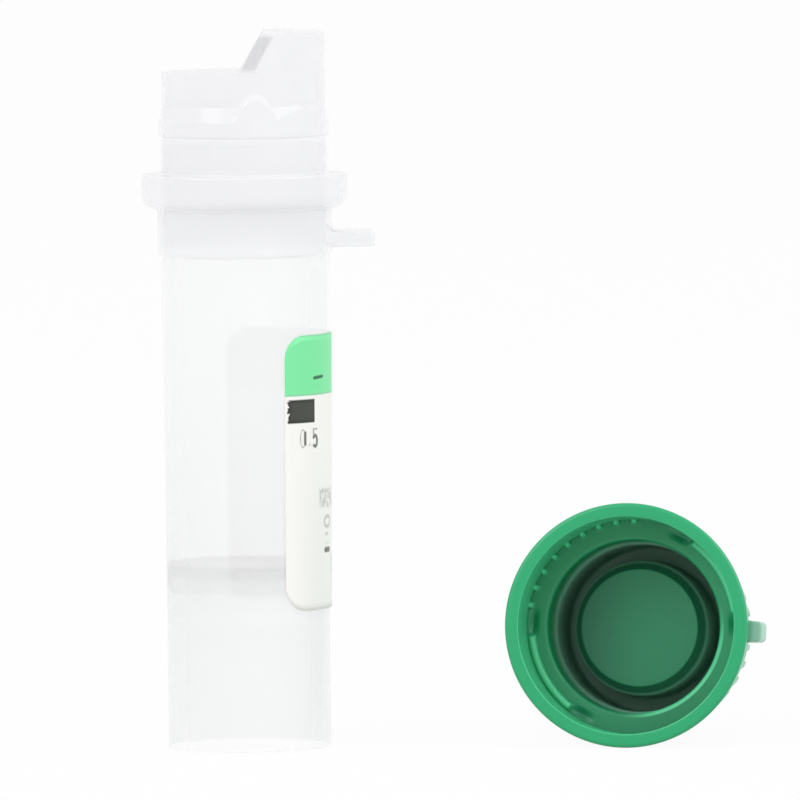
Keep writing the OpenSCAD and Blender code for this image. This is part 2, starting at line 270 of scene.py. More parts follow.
def lug_cover(turn, z):
    """1 inside a round arch over each lug's width, 0 outside it, and a slope between."""
    cover = np.zeros(np.broadcast(turn, z).shape)
    for direction, height, width in LUGS:
        aside = np.abs(np.radians((turn - direction + 180) % 360 - 180)) * neck_r / (width / 2)
        arch = height * (1 - aside ** 2)
        cover = np.maximum(cover, ramp(arch - (z - bead_top), -LUG_EDGE, LUG_EDGE) * (aside < 1.3))
    return cover


def tube_turns():
    """Turns of the tube's columns: close together at the lip's slopes, the lugs and the tab."""
    ahead = np.array([LIP_INSET, LIP_INSET + LIP_SETBACK + LIP_SHADE_W])
    slope = np.degrees(np.arccos(ahead / (neck_r - LIP_STEP)))
    slopes = [LIP_TURN + side * np.linspace(slope[1] - 2, slope[0] + 2, 34) for side in (-1, 1)]
    lugs = [d + np.arange(-width * 6.5, width * 6.5, 1.1) for d, _, width in LUGS]
    return spaced([np.arange(0, 360, 3.0), *slopes, *lugs, LIP_TURN + tab_turns(TAB_W / 2, band_r)])


def tab_turns(half_width, wall_r):
    """Turns at which a tab's columns leave the wall, close together at its rounded sides."""
    aside = half_width * np.array([0.25, 0.5, 0.7, 0.83, 0.9, 0.94, 0.97, 0.985, 0.995, 1.0, 1.02, 1.1])
    turns = np.degrees(np.arcsin(aside / wall_r))
    return np.concatenate([-turns, [0], turns])


def stand_out(points, rows, turn, path, half_width, reach, corner, edge):
    """Pulls the given rows of a turned grid out into a tab with parallel sides.

    path gives each row's share of the reach and its height. A column inside the tab's width goes
    out at its own distance aside from the tab's middle, to a line with rounded corners, and the
    tab thins a little at its rounded side edges.
    """
    wall = points[rows]
    radius = np.hypot(wall[..., 0], wall[..., 1]).mean(1, keepdims=True)
    aside = radius * np.sin(np.radians(turn))
    inside = (np.abs(aside) <= half_width * 1.001) & (np.cos(np.radians(turn)) > 0)
    held = np.clip(aside, -half_width, half_width)
    tip = reach - side_inset(held, half_width, corner)
    root = np.sqrt(radius ** 2 - held ** 2)
    share, height = path[:, :1], path[:, 1:]
    middle = (height.min() + height.max()) / 2
    thin = 1 - side_inset(held, half_width, edge) / (np.ptp(height) / 2)
    out = np.stack([root + (tip - root) * share, held, middle + (height - middle) * thin], -1)
    pull = inside[..., None] & (share[..., None] >= 0)
    points[rows] = np.where(pull, out, wall)


def tube_points():
    """The tube as rows of one profile, from under the vessel, round the skirt, the outside, the
    rim and the vessel's inside to its bottom, each row turned through the columns' turns."""
    turn = tube_turns()
    tab_low, tab_high = band_bottom + TAB_LIFT, band_bottom + TAB_LIFT + TAB_T
    dome_r = vessel_end_r + FLOOR_T
    dome = np.radians(np.linspace(-90, -41, 14))
    under = np.stack([dome_r * np.cos(dome), vessel_end_z + dome_r * np.sin(dome)], 1)
    outside = rounded_path([
        (under[-1, 0], under[-1, 1], 0, 1),
        (skirt_r - 0.16, under[-1, 1] + 0.25, 0.1, 1),
        (skirt_r, skirt_land, 0.4, 3),
        (skirt_r, 0, 0.12, 5),
        (FOOT_R, 0, 0.35, 3),
        (SHOULDER_R - 0.01, band_bottom - 0.2, 0.15, 20),
        (band_r, band_bottom, 0.06, 2),
        (band_r, tab_low, 0, 1),
    ])[:-1]
    tab = rounded_path([
        (0, tab_low, 0, 1), (1, tab_low, 0.06, 6), (1, tab_high, 0.1, 4), (0.13, tab_high, 0.05, 6),
        (0, tab_high + 0.38, 0, 3),
    ])
    band = np.stack([np.full(len(tab), band_r), np.linspace(tab_low, tab_high + 0.38, len(tab))], 1)
    head = rounded_path([
        (band_r, band[-1, 1], 0, 1),
        (band_r + 0.02, collar_bottom, 0.12, 3),
        (collar_r, collar_bottom, COLLAR_ROUND, 3),
        (collar_r, collar_top, 0.12, 4),
        (neck_foot_r, collar_top, 0.15, 4),
        (neck_foot_r - 0.03, bead_bottom, 0.08, 6),
        (bead_r, bead_bottom, 0.06, 2),
        (bead_r, bead_top, 0.15, 4),
        (neck_r, bead_top + BEAD_SLOPE, 0.3, 18),
        (neck_r, rim_z - MOUTH_BLEND, 0, 14),
    ])[1:]
    lip_r = neck_r - LIP_STEP
    tip_r = lip_r - LIP_LEAN
    lip_root = math.acos((lip_r - neck_r + RIM_ROUND) / RIM_ROUND)
    shoulder = rim_arc(0, lip_root, 6)
    lip = rounded_path([
        (lip_r, shoulder[-1, 1] + 0.02, 0, 1),
        (tip_r, tube_h, 0.2, 12),
        (tip_r - LIP_WALL, tube_h, 0.12, 2),
        (mouth_r, rim_z - 0.1, 0.5, 10),
        (mouth_r, rim_z - MOUTH_BLEND, 0, 3),
    ])
    low_rim = respread(np.concatenate([rim_arc(lip_root, np.pi / 2, 5)[1:], rounded_path([
        (neck_r - RIM_ROUND - 0.02, rim_z, 0, 1),
        (mouth_r, rim_z, 0.12, 2),
        (mouth_r, rim_z - MOUTH_BLEND, 0, 6),
    ], 6)]), len(lip))
    inside = rounded_path([
        (mouth_r, rim_z - MOUTH_BLEND, 0, 1),
        (mouth_r, land_bottom, 1.5, 6),
        (vessel_end_r, vessel_end_z, 0, 16),
    ])[1:]
    end = np.radians(np.linspace(0, -90, 16))[1:]
    bottom = np.stack([vessel_end_r * np.cos(end), vessel_end_z + vessel_end_r * np.sin(end)], 1)
    before = np.concatenate([under, outside[1:], band, head, shoulder])
    after = np.concatenate([inside, bottom])
    share = lip_share(turn)[None, :, None]
    lips = low_rim[:, None] + (lip - low_rim)[:, None] * share
    rows = [np.repeat(before[:, None], len(turn), 1), lips, np.repeat(after[:, None], len(turn), 1)]
    radius, z = np.moveaxis(np.concatenate(rows), -1, 0)
    outer = np.arange(len(radius))[:, None] < len(before)
    cover = lug_cover(turn, z) * outer * (z > bead_top)
    radius = np.maximum(radius, neck_r + (bead_r - neck_r) * cover)
    radius[0] = radius[-1] = 0
    angle = np.radians(turn)
    points = np.stack([radius * np.cos(angle), radius * np.sin(angle), z], -1)
    first = len(under) + len(outside) - 1
    own = turn_about(points, -LIP_TURN)
    stand_out(own, slice(first, first + len(tab)), turn - LIP_TURN, tab, TAB_W / 2, TAB_REACH,
              TAB_T / 2, 0.12)
    # the head, from the band under the collar up, is greyer and less clear: denser thick plastic, and
    # painted shade under the collar and on the neck
    head = ramp(z, band_bottom - 0.2, band_bottom + 0.2)
    row = np.arange(len(radius))[:, None]
    # painted shade: a darker, less clear strip inside the lip's far edge
    far_lip_shade = far_lip_shade_mask(radius, turn, z) * (row > len(before) + len(lip) // 2)
    # painted highlight: a whiter, less clear line on the foot of the neck just under the bead; the round end
    # and its closing are made clearer
    under_bead = ramp(z, bead_bottom - 0.34, bead_bottom - 0.26) * (z < bead_bottom + 0.01)
    foot_row = len(under) + np.argmin(outside[1:, 1])
    closing = (row < foot_row) * ramp(z, skirt_land - 3, skirt_land - 0.5)
    round_end = np.maximum(closing, row >= len(radius) - len(bottom))
    light_line_and_clearing = PAINTED_LIGHT_LINE * under_bead * outer - round_end * ramp(neck_r - radius, 0, 0.3)
    return turn_about(own, LIP_TURN), np.stack([head, far_lip_shade, light_line_and_clearing], -1)


def turn_about(points, degrees):
    """The points turned about the vertical axis."""
    c, s = math.cos(math.radians(degrees)), math.sin(math.radians(degrees))
    return points @ np.array([[c, s, 0], [-s, c, 0], [0, 0, 1]])


# ---------------------------------------------------------------- The label
LABEL_START, LABEL_WRAP = -62.5, 166.5
LABEL_CORNER = 1.5
LABEL_T, GLUE_T = 0.1, 0.02


def label_sheet():
    """A sheet at the body's radius: each column runs between two edges with rounded corners."""
    bottom, top = label_low[2], label_high[2]
    length = math.radians(LABEL_WRAP) * SHOULDER_R
    corner = LABEL_CORNER * (1 - np.cos(np.linspace(0, np.pi / 2, 9)))
    across = np.concatenate([corner, np.linspace(corner[-1], length - corner[-1], 110)[1:-1],
                             length - corner[::-1]])
    aside = across - length / 2
    inset = side_inset(aside, length / 2, LABEL_CORNER)
    up = np.linspace(0, 1, 40)[:, None]
    z = bottom + inset + (top - bottom - 2 * inset) * up
    radius = body_r(z) + GLUE_T + LABEL_T
    turn = np.radians(LABEL_START + np.degrees(across / SHOULDER_R))
    points = np.stack([radius * np.cos(turn), radius * np.sin(turn), z], -1)
    grid = np.arange(z.size).reshape(z.shape)
    faces = np.stack([grid[:-1, :-1], grid[:-1, 1:], grid[1:, 1:], grid[1:, :-1]], -1).reshape(-1, 4)
    piece = mesh_piece("printed_label", points.reshape(-1, 3), faces.tolist())
    film = piece.modifiers.new("film", "SOLIDIFY")
    film.thickness = LABEL_T * MM
    film.offset = -1
    return piece


# ---------------------------------------------------------------- The cap
def cap_turns():
    """Turns of the cap's columns: on the flanks of each rib and tooth, at the ends of the ledge's
    beads and pockets, and at the pointer's sides."""
    rib = np.array([-4, -2.1, -1.75, -1.45, 0, 1.45, 1.75, 2.1, 4, 5])
    tooth = np.array([-2.4, -2.0, -1.7, -1.35, -0.9, -0.45, 0, 0.45, 0.9, 1.35, 1.7, 2.0, 2.4])
    ribs = np.add.outer(np.arange(RIB_COUNT) * 360 / RIB_COUNT, rib).ravel()
    teeth = np.add.outer(-TEETH, tooth).ravel()
    ends = -np.array(LEDGE_BEADS + LEDGE_POCKETS).ravel()
    ends = np.add.outer(ends, [-3, -1.5, 0, 1.5, 3]).ravel()
    return spaced([ribs, teeth, ends, POINTER_TURN + tab_turns(POINTER_W / 2, CAP_RIM_R)], 0.12)


def spans(turn, arcs, soft):
    """1 between the two directions of any of the arcs and 0 outside them, over soft ends."""
    inside = np.zeros(turn.shape)
    for start, stop in arcs:
        ahead = (turn - start + 90) % 360 - 90
        inside = np.maximum(inside, ramp(ahead, -soft, soft) * (1 - ramp(ahead, stop - start - soft,
                                                                         stop - start + soft)))
    return inside


def ledge_relief(radius, turn):
    """How far the ledge's round-topped teeth and beads stand up, and its pockets go down."""
    seen = (-turn) % 360
    off = np.abs(seen[:, None] - TEETH).min(1)
    half = np.degrees(TOOTH_W / 2 / CAP_SKIRT_R)
    start = CAP_SKIRT_R - TOOTH_L
    rise = ramp(radius, start - TOOTH_SLOPE[0], start + TOOTH_SLOPE[1])
    tooth = TOOTH_H * np.sqrt(np.clip(1 - (off / half) ** 2, 0, 1)) * rise
    middle = CAP_SKIRT_R - LEDGE_BEAD_R
    round_top = np.sqrt(np.clip(LEDGE_BEAD_R ** 2 - (radius - middle) ** 2, 0, None))
    relief_and_highlight = np.maximum(tooth, round_top * spans(seen, LEDGE_BEADS, LEDGE_BEAD_END))
    outer = CAP_SKIRT_R - CAP_DRAFT - POCKET_EDGE
    across = ramp(radius, outer - POCKET_W - POCKET_SOFT, outer - POCKET_W + POCKET_SOFT)
    across = across * (1 - ramp(radius, outer - POCKET_SOFT, outer))
    return relief_and_highlight, POCKET_DEPTH * across * spans(seen, LEDGE_POCKETS, POCKET_END)


def on_bore_edge(radius, z):
    """1 on the rounding between the bore and the ledge, 0 elsewhere."""
    return ((radius < cap_bore_r + BORE_ROUND + 0.05) & (z < CAP_LEDGE + BORE_ROUND + 0.05)).astype(float)


def cap_depth_shade(radius, z, seen):
    """How much painted shade darkens the green inside the cap: from the ledge down to the plug's face.

    The share rises with depth. It is larger on the plug than on the ledge, and a little larger
    low on the ledge and at the left of the plug's face than elsewhere on them.
    """
    low_side = ramp(-np.sin(np.radians(seen)), 0.3, 0.95)
    left = -radius * np.cos(np.radians(seen)) / PLUG_R
    on_plug = radius < PLUG_R - PLUG_LEAD
    face = FACE_SHADE + FACE_LEFT_SHADE * ramp(left, 0, 0.9)
    slant = (radius < PLUG_R + 0.05) * (z < PLUG_FACE + 2 * PLUG_LEAD + 0.3) * ~on_plug
    ledge = LEDGE_SHADE + LEDGE_LOW_SHADE * low_side
    return ramp(z, 3.0, 3.65) * np.where(on_plug, face, np.where(slant, SLANT_SHADE, ledge))


def cap_points():
    """The cap as rows of one profile, from its plug, round the groove, bore, ledge, skirt, rim and
    outside to its closed end. The ribs, the ledge's teeth and beads and the pointer follow."""
    turn = cap_turns()
    foot_r, mouth_edge_r = CAP_SKIRT_R - CAP_DRAFT, CAP_SKIRT_R + CAP_FLARE
    ledge_start = foot_r - LEDGE_RIM_W

    def envelope(z):
        """Radius of the cap's slightly tapered outside at a depth behind its mouth."""
        return CAP_RIM_R + (CAP_END_R - CAP_RIM_R) * z / CAP_L

    inside = rounded_path([
        (0, PLUG_FACE, 0, 1),
        (PLUG_R - PLUG_LEAD, PLUG_FACE, 0.12, 8),
        (PLUG_R, PLUG_FACE + 2 * PLUG_LEAD, 0.4, 3),
        (PLUG_R, CAP_GROOVE, 0.2, 6),
        (GROOVE_R, CAP_GROOVE, 0.2, 2),
        (GROOVE_R, PLUG_FACE + 0.5, 0.3, 8),
        (cap_bore_r, PLUG_FACE, 0.3, 2),
        (cap_bore_r, CAP_LEDGE, BORE_ROUND, 8),
        (ledge_start, CAP_LEDGE, 0, 3),
    ], 6)
    ledge = np.stack([np.linspace(ledge_start, foot_r, 19)[1:], np.full(18, CAP_LEDGE)], 1)
    skirt_z = np.concatenate([np.linspace(CAP_LEDGE, CAP_LEDGE - 1, 12)[1:], np.linspace(2.4, 0.2, 8)])
    skirt = np.stack([np.interp(skirt_z, [0, CAP_LEDGE], [mouth_edge_r, foot_r]), skirt_z], 1)
    rim = rounded_path([
        (mouth_edge_r, 0.2, 0, 1),
        (mouth_edge_r, 0, 0.1, 1),
        (CAP_RIM_R, 0, 0.22, 5),
        (envelope(POINTER_SPAN[0]), POINTER_SPAN[0], 0, 6),
    ], 5)[1:]
    tab = rounded_path([
        (0, POINTER_SPAN[0], 0, 1), (1, POINTER_SPAN[0], 0.12, 4), (1, POINTER_SPAN[1], 0.12, 6),
        (0, POINTER_SPAN[1], 0, 4),
    ])
    heights = np.linspace(POINTER_SPAN[0], POINTER_SPAN[1], len(tab))
    wall = np.stack([envelope(heights), heights], 1)
    grip_z = np.concatenate([[CAP_BAND - 0.06, CAP_BAND, CAP_BAND + 0.06],
                             np.linspace(CAP_BAND + 0.5, CAP_L - 0.7, 14)])
    grip = np.stack([envelope(grip_z), grip_z], 1)
    end = rounded_path([
        (envelope(CAP_L - 0.6), CAP_L - 0.6, 0, 1),
        (CAP_END_R - 0.2, CAP_L - 0.2, 0.25, 3),
        (CAP_END_R - 0.45, CAP_L, 0.25, 2),
        (0, CAP_L, 0, 10),
    ])
    profile = np.concatenate([inside, ledge, skirt, rim, wall[1:], grip, end])
    radius, z = (np.repeat(profile[:, k:k + 1], len(turn), 1) for k in (0, 1))
    first_ledge = len(inside)
    first_rim = first_ledge + len(ledge) + len(skirt)
    row = np.arange(len(profile))[:, None]
    on_ledge = (row >= first_ledge - 3) & (row < first_ledge + len(ledge))
    on_skirt = (row >= first_ledge + len(ledge)) & (row < first_rim)
    relief_and_highlight, sunk = ledge_relief(np.where(on_ledge, radius, foot_r), turn)
    seen = (-turn) % 360
    # painted shade: deeper inside the cap, and in the ledge's pockets
    deep = cap_depth_shade(radius, z, seen) * (row < first_rim)
    shade = deep + POCKET_SHADE * sunk / POCKET_DEPTH * on_ledge
    # a painted highlight along the bore's edge
    edge = on_bore_edge(radius, z) * spans(seen, BRIGHT_BORE, BRIGHT_BORE_END) * (row < first_ledge)
    tooth_root = relief_and_highlight * (1 - ramp(CAP_LEDGE - z, 0, 1))
    z = z - np.where(on_ledge, relief_and_highlight - sunk, 0) - np.where(on_skirt, tooth_root, 0)
    # painted highlight: the teeth, the beads and the bore's edge are lighter
    relief_and_highlight = relief_and_highlight / LEDGE_BEAD_R * np.where(on_skirt, 1 - ramp(CAP_LEDGE - z, 0, 0.8), on_ledge)
    relief_and_highlight = np.maximum(relief_and_highlight, BORE_LIGHT * edge)
    # painted light in the groove round the plug
    in_groove = (row < first_ledge) * (radius > PLUG_R - 0.1)
    painted_groove_light = GROOVE_PAINTED_LIGHT * ramp(z, CAP_LEDGE + 1.2, PLUG_FACE + 1) * in_groove

    pitch = 360 / RIB_COUNT
    off = np.abs((turn + pitch / 2) % pitch - pitch / 2)
    half = np.degrees(RIB_W / 2 / CAP_RIM_R)
    between = ramp(off, half * 0.9, half * 1.45)
    outside = row >= first_rim + len(rim)
    groove = RIB_H * between * ramp(z, CAP_BAND - 0.05, CAP_BAND + 0.08) * outside
    groove = groove * (1 - ramp(z, CAP_L - 0.75, CAP_L - 0.3))
    radius = radius - groove
    radius[0] = radius[-1] = 0
    angle = np.radians(turn)
    points = np.stack([radius * np.cos(angle), radius * np.sin(angle), z], -1)
    first_wall = first_rim + len(rim) - 1
    own = turn_about(points, -POINTER_TURN)
    stand_out(own, slice(first_wall, first_wall + len(tab)), turn - POINTER_TURN, tab,
              POINTER_W / 2, POINTER_REACH, POINTER_W / 4, 0.15)
    # painted pale light on the pointer and, as a sheen, on the cap's outside
    pointer = ramp(np.hypot(own[..., 0], own[..., 1]), CAP_RIM_R - 0.1, CAP_RIM_R + 0.1) * (z > 1)
    side = OUTSIDE_PAINTED_SHEEN * ramp(z, 0.25, 0.6) * (row >= first_rim)
    # painted light on the skirt's inner wall
    on_wall = (row >= first_ledge + len(ledge)) & (row < first_rim + WALL_LIGHT_ROWS)
    wall_light = WALL_LIGHT * (1 - ramp(z, 3.0, 3.6)) * on_wall
    # the tones: painted shade, painted highlight and light, and painted pale light
    thin = np.maximum(np.maximum(pointer, side), painted_groove_light)
    light = np.clip(np.maximum(relief_and_highlight, wall_light), 0, 1)
    tones = np.stack([np.clip(shade, 0, 1), light, thin], -1)
    return turn_about(own, POINTER_TURN), tones


def lay_cap(points):
    """Puts the cap's own frame where its bore is: +Z to its closed end and +X to the side."""
    mount = mounts["cap_bore"]
    inward = -np.array(mount["axis"])
    side = np.cross(inward, (0, 0, 1))
    side = side / np.linalg.norm(side)
    half = mount["dims"]["length_mm"] / 2
    rim_middle = np.array(mount["pos_m"]) / MM - inward * (CAP_LEDGE + half)
    return rim_middle + points @ np.stack([side, np.cross(inward, side), inward])


# ---------------------------------------------------------------- Materials
def add(tree, kind, inputs=None, **settings):
    """One shader node with its settings. An input is a value or another node's output."""
    made = tree.nodes.new("ShaderNode" + kind)
    for name, value in settings.items():
        setattr(made, name, value)
    for name, value in (inputs or {}).items():
        if isinstance(value, bpy.types.NodeSocket):
            tree.links.new(value, made.inputs[name])
        else:
            made.inputs[name].default_value = value
    return made


def maths(tree, operation, *values):
    """The result of one Math node."""
    return add(tree, "Math", dict(enumerate(values)), operation=operation).outputs[0]


def mixed(tree, share, first, second):
    """A colour between two others, by a share that varies over the surface."""
    return add(tree, "MixRGB", {"Fac": share, "Color1": first, "Color2": second}).outputs[0]


def material(name):
    """An empty material, its tree and its Principled BSDF."""
    made = bpy.data.materials.new(name)
    made.use_nodes = True
    tree = made.node_tree
    return made, tree, tree.nodes["Principled BSDF"]


def group(name, inputs, outputs):
    """An empty shader group with its named sockets, and its input and output nodes."""
    tree = bpy.data.node_groups.new(name, "ShaderNodeTree")
    for label, kind, default in inputs:
        socket = tree.interface.new_socket(label, in_out="INPUT", socket_type="NodeSocket" + kind)
        if default is not None:
            socket.default_value = default
    for label, kind in outputs:
        tree.interface.new_socket(label, in_out="OUTPUT", socket_type="NodeSocket" + kind)
    return tree, tree.nodes.new("NodeGroupInput").outputs, tree.nodes.new("NodeGroupOutput").inputs


def place(tree, shared, **inputs):
    """Puts a shared group into a material with this material's own values."""
    made = tree.nodes.new("ShaderNodeGroup")
    made.node_tree = shared
    for name, value in inputs.items():
        name = name.replace("_", " ")
        if isinstance(value, bpy.types.NodeSocket):
            tree.links.new(value, made.inputs[name])
        else:
            made.inputs[name].default_value = value
    return made.outputs


def moulded_skin():
    """The skin of moulded plastic: a fine ripple, and slow clouds of tone along the flow."""
    tree, given, result = group("Moulded skin", [
        ("Coordinates", "Vector", None), ("Ripple Size", "Float", 0.6), ("Cloud Size", "Float", 6.0),
    ], [("Height", "Float"), ("Cloud", "Float")])
    per_mm = 1 / MM
    ripple = add(tree, "TexNoise", {
        "Vector": given["Coordinates"], "Detail": 3.0, "Roughness": 0.55,
        "Scale": maths(tree, "DIVIDE", per_mm, given["Ripple Size"])}, noise_dimensions="3D")
    cloud = add(tree, "TexNoise", {
        "Vector": given["Coordinates"], "Detail": 2.0,
        "Scale": maths(tree, "DIVIDE", per_mm, given["Cloud Size"])}, noise_dimensions="3D")
    tree.links.new(ripple.outputs[0], result["Height"])
    tree.links.new(cloud.outputs[0], result["Cloud"])
    return tree


skin = moulded_skin()


def tone_shares(tree):
    """The three shares that a turned piece keeps at each of its points."""
    kept = add(tree, "Attribute", attribute_name="tones").outputs["Vector"]
    return add(tree, "SeparateXYZ", {"Vector": kept}).outputs


def milky_plastic():
    """Milky see-through polypropylene: light passes and spreads, with a faint cloudiness. It carries painted
    shade on its head and beside the lip, and a painted highlight line under the bead.
    """
    made, tree, shader = material("Milky plastic")
    where = add(tree, "TexCoord").outputs["Object"]
    marks = place(tree, skin, Coordinates=where, Ripple_Size=0.9, Cloud_Size=7.0)
    head, far_lip_shade, light_line_and_clearing = tone_shares(tree)
    clear = mixed(tree, marks["Cloud"], (0.96, 0.962, 0.968, 1), (0.98, 0.982, 0.987, 1))
    # the head is greyer: denser plastic, and painted shade under the collar and on the neck
    tone = mixed(tree, head, clear, (0.87, 0.87, 0.895, 1))
    # painted shade: the strip inside the lip's far edge is greyer and less clear
    tone = mixed(tree, far_lip_shade, tone, (0.6, 0.6, 0.61, 1))
    # painted highlight: the line under the bead is whiter
    tone = mixed(tree, light_line_and_clearing, tone, (1, 1, 1, 1))
    body = add(tree, "MapRange", {"Value": head, "To Min": 0.28, "To Max": 0.35}).outputs[0]
    body = maths(tree, "MULTIPLY_ADD", light_line_and_clearing, 0.2, body)
    alpha = maths(tree, "MULTIPLY_ADD", far_lip_shade, 0.3, body)
    rough = add(tree, "MapRange", {"Value": marks["Cloud"], "To Min": 0.2, "To Max": 0.3})
    bump = add(tree, "Bump", {"Height": marks["Height"], "Strength": 0.15, "Distance": 0.02 * MM})
    tree.links.new(tone, shader.inputs["Base Color"])
    tree.links.new(rough.outputs[0], shader.inputs["Roughness"])
    tree.links.new(bump.outputs[0], shader.inputs["Normal"])
    tree.links.new(alpha, shader.inputs["Alpha"])
    shader.inputs["Coat Weight"].default_value = 0.6
    shader.inputs["Coat Roughness"].default_value = 0.24
    shader.inputs["Coat IOR"].default_value = 1.45
    return made


def green_plastic():
    """Smooth green polyethylene, with slow variations of tone and gloss. It carries painted shade inside the
    cap, painted highlights on the teeth, beads and bore's edge, painted light on the skirt's inner wall and
    in the groove, and painted pale light on the outside and the pointer.
    """
    made, tree, shader = material("Green plastic")
    where = add(tree, "TexCoord").outputs["Object"]
    marks = place(tree, skin, Coordinates=where, Ripple_Size=0.7, Cloud_Size=5.0)
    shade, relief_and_highlight, thin = tone_shares(tree)
    tone = mixed(tree, marks["Cloud"], (0.008, 0.325, 0.125, 1), (0.012, 0.375, 0.15, 1))
    # painted shade inside the cap
    tone = mixed(tree, shade, tone, (0.016, 0.13, 0.082, 1))
    # painted highlight on the teeth, beads and bore's edge, and painted light on the skirt's wall
    tone = mixed(tree, relief_and_highlight, tone, (0.1, 0.66, 0.34, 1))
    # painted pale light on the pointer and the outside, and in the groove
    tone = mixed(tree, thin, tone, (0.3, 0.56, 0.44, 1))
    gloss = add(tree, "MapRange", {"Value": marks["Cloud"], "To Min": 0.3, "To Max": 0.4}).outputs[0]
    rough = maths(tree, "MULTIPLY_ADD", shade, 0.12, gloss)
    bump = add(tree, "Bump", {"Height": marks["Height"], "Strength": 0.2, "Distance": 0.02 * MM})
    tree.links.new(tone, shader.inputs["Base Color"])
    tree.links.new(rough, shader.inputs["Roughness"])
    tree.links.new(bump.outputs[0], shader.inputs["Normal"])
    return made


def vector_maths(tree, operation, *values):
    """The outputs of one Vector Math node."""
    return add(tree, "VectorMath", dict(enumerate(values)), operation=operation).outputs


def soft_step(tree, value, middle, half_width, rising=True):
    """0 below the middle and 1 above it, or the other way round, over a soft edge."""
    low, high = (maths(tree, way, middle, half_width) for way in ("SUBTRACT", "ADD"))
    return add(tree, "MapRange", {"Value": value, "From Min": low, "From Max": high,
                                  "To Min": 0.0 if rising else 1.0, "To Max": 1.0 if rising else 0.0},
               interpolation_type="SMOOTHSTEP").outputs[0]


def print_place():
    """The place on the wrapped sheet in mm, across from its near edge and up, and 1 on its outer face."""
    tree, given, result = group("Print place", [("Coordinates", "Vector", None)],
                                [("Place", "Vector"), ("Outer", "Float")])
    x, y, z = add(tree, "SeparateXYZ", {"Vector": given["Coordinates"]}).outputs
    turn = maths(tree, "SUBTRACT", maths(tree, "ARCTAN2", y, x), math.radians(LABEL_START))
    up = maths(tree, "DIVIDE", z, MM)
    level = add(tree, "CombineXYZ", {"X": x, "Y": y})
    radius = maths(tree, "DIVIDE", vector_maths(tree, "LENGTH", level.outputs[0])["Value"], MM)
    film_middle = maths(tree, "MULTIPLY_ADD", up, (SHOULDER_R - FOOT_R) / band_bottom,
                        FOOT_R + GLUE_T + LABEL_T / 2)
    spread = add(tree, "CombineXYZ", {"X": maths(tree, "MULTIPLY", turn, SHOULDER_R), "Y": up})
    tree.links.new(spread.outputs[0], result["Place"])
    tree.links.new(maths(tree, "GREATER_THAN", radius, film_middle), result["Outer"])
    return tree


def ink_stroke():
    """1 within half the width of the straight line from start to end, and a soft edge."""
    tree, given, result = group("Ink stroke", [
        ("Place", "Vector", None), ("Start", "Vector", None), ("End", "Vector", None),
        ("Half Width", "Float", 0.05), ("Edge", "Float", 0.03)], [("Mask", "Float")])
    away = vector_maths(tree, "SUBTRACT", given["Place"], given["Start"])["Vector"]
    run = vector_maths(tree, "SUBTRACT", given["End"], given["Start"])["Vector"]
    ahead = vector_maths(tree, "DOT_PRODUCT", away, run)["Value"]
    length = vector_maths(tree, "DOT_PRODUCT", run, run)["Value"]
    share = add(tree, "Math", {0: ahead, 1: length}, operation="DIVIDE", use_clamp=True).outputs[0]
    along = add(tree, "VectorMath", {0: run, "Scale": share}, operation="SCALE").outputs["Vector"]
    distance = vector_maths(tree, "DISTANCE", away, along)["Value"]
    mask = soft_step(tree, distance, given["Half Width"], given["Edge"], rising=False)
    tree.links.new(mask, result["Mask"])
    return tree


def ink_ring():
    """1 on an upright oval line: near where the distance from its centre equals the oval's own."""
    tree, given, result = group("Ink ring", [
        ("Place", "Vector", None), ("Centre", "Vector", None), ("Radii", "Vector", (1, 1, 1)),
        ("Half Width", "Float", 0.05), ("Edge", "Float", 0.03)], [("Mask", "Float")])
    away = vector_maths(tree, "SUBTRACT", given["Place"], given["Centre"])["Vector"]
    reach = vector_maths(tree, "LENGTH", away)["Value"]
    share = vector_maths(tree, "LENGTH", vector_maths(tree, "DIVIDE", away, given["Radii"])["Vector"])
    own = maths(tree, "DIVIDE", reach, share["Value"])
    off = maths(tree, "ABSOLUTE", maths(tree, "SUBTRACT", reach, own))
    tree.links.new(soft_step(tree, off, given["Half Width"], given["Edge"], rising=False), result["Mask"])
    return tree


def ink_field():
    """1 inside an upright rectangle between two corners, and a soft edge."""
    tree, given, result = group("Ink field", [
        ("Place", "Vector", None), ("Low", "Vector", None), ("High", "Vector", None),
        ("Edge", "Float", 0.03)], [("Mask", "Float")])
    place_xy, low_xy, high_xy = (add(tree, "SeparateXYZ", {"Vector": given[name]}).outputs
                                 for name in ("Place", "Low", "High"))
    mask = 1.0
    for k in (0, 1):
        mask = maths(tree, "MULTIPLY", mask, soft_step(tree, place_xy[k], low_xy[k], given["Edge"]))
        mask = maths(tree, "MULTIPLY", mask, soft_step(tree, place_xy[k], high_xy[k], given["Edge"], False))
    tree.links.new(mask, result["Mask"])
    return tree


# The label's print, in mm across from the sheet's near edge and up from the ground
BAND_FOOT, BAND_BORDER = 22.55, 0.1  # lower edge of the head band, and its darker border
DASH = ((2.39, 23.64), (3.33, 23.7))
BAR_LOW, BAR_HIGH, BAR_BORDER = (0.2, 20.83), (2.42, 22.32), 0.16
ZERO, FIVE, POINT = (1.345, 19.84), (2.466, 19.84), (1.92, 19.42)
DIGIT_HALF = (0.21, 0.56)  # half the width and the height of a digit
CODE_BLOCK = ((2.95, 15.33), (5.3, 16.6))
CODE_RING, CODE_RING_R = (4.1, 14.43), (0.5, 0.33)
# Each dash of the code: where it starts and stops across, its height, half width and strength
CODE_DASHES = ((3.8, 4.2, 13.65, 0.1, 0.35), (3.85, 4.3, 13.05, 0.08, 0.18), (3.75, 4.45, 12.63, 0.17, 0.9))
CODE_SMEAR = ((5.15, 11.35), (5.2, 12.0))


def flat(point):
    """A place on the sheet as a vector."""
    return point[0], point[1], 0


